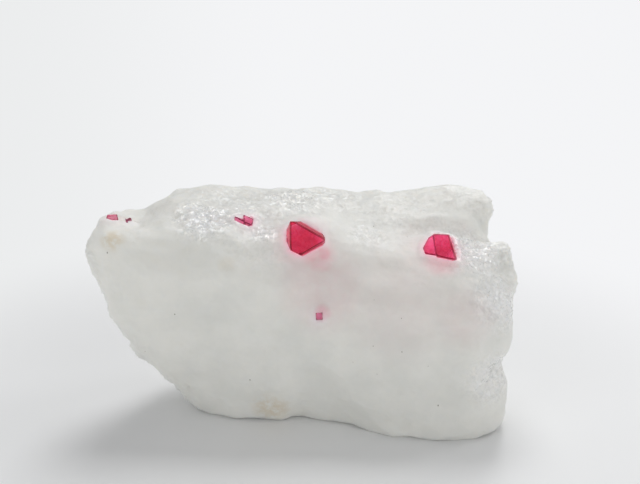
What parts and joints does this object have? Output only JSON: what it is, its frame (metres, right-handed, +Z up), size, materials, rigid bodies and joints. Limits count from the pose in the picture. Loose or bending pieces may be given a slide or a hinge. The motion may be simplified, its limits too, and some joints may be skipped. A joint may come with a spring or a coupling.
{
  "type": "spinel in marble",
  "caption": "Broken block of white calcite marble with sharp red octahedral spinel crystals along its brow, resting on its underside.",
  "frame": {"origin": "middle of the length and depth, on the plane the block rests on", "axes": "+X along the block's length to the end with the cleft, -Y out of the face that carries the crystals, +Z up"},
  "size_m": [0.0576, 0.0246, 0.0302],
  "materials": {
    "marble": "freshly broken, sugary and slightly translucent",
    "spinel": "clear red crystal with smooth natural faces"
  },
  "bodies": {
    "root": {"marble": "marble", "spinel_brow": "spinel", "spinel_right": "spinel", "spinel_top": "spinel", "spinel_left": "spinel", "spinel_chip": "spinel", "spinel_low": "spinel"}
  },
  "joints": []
}
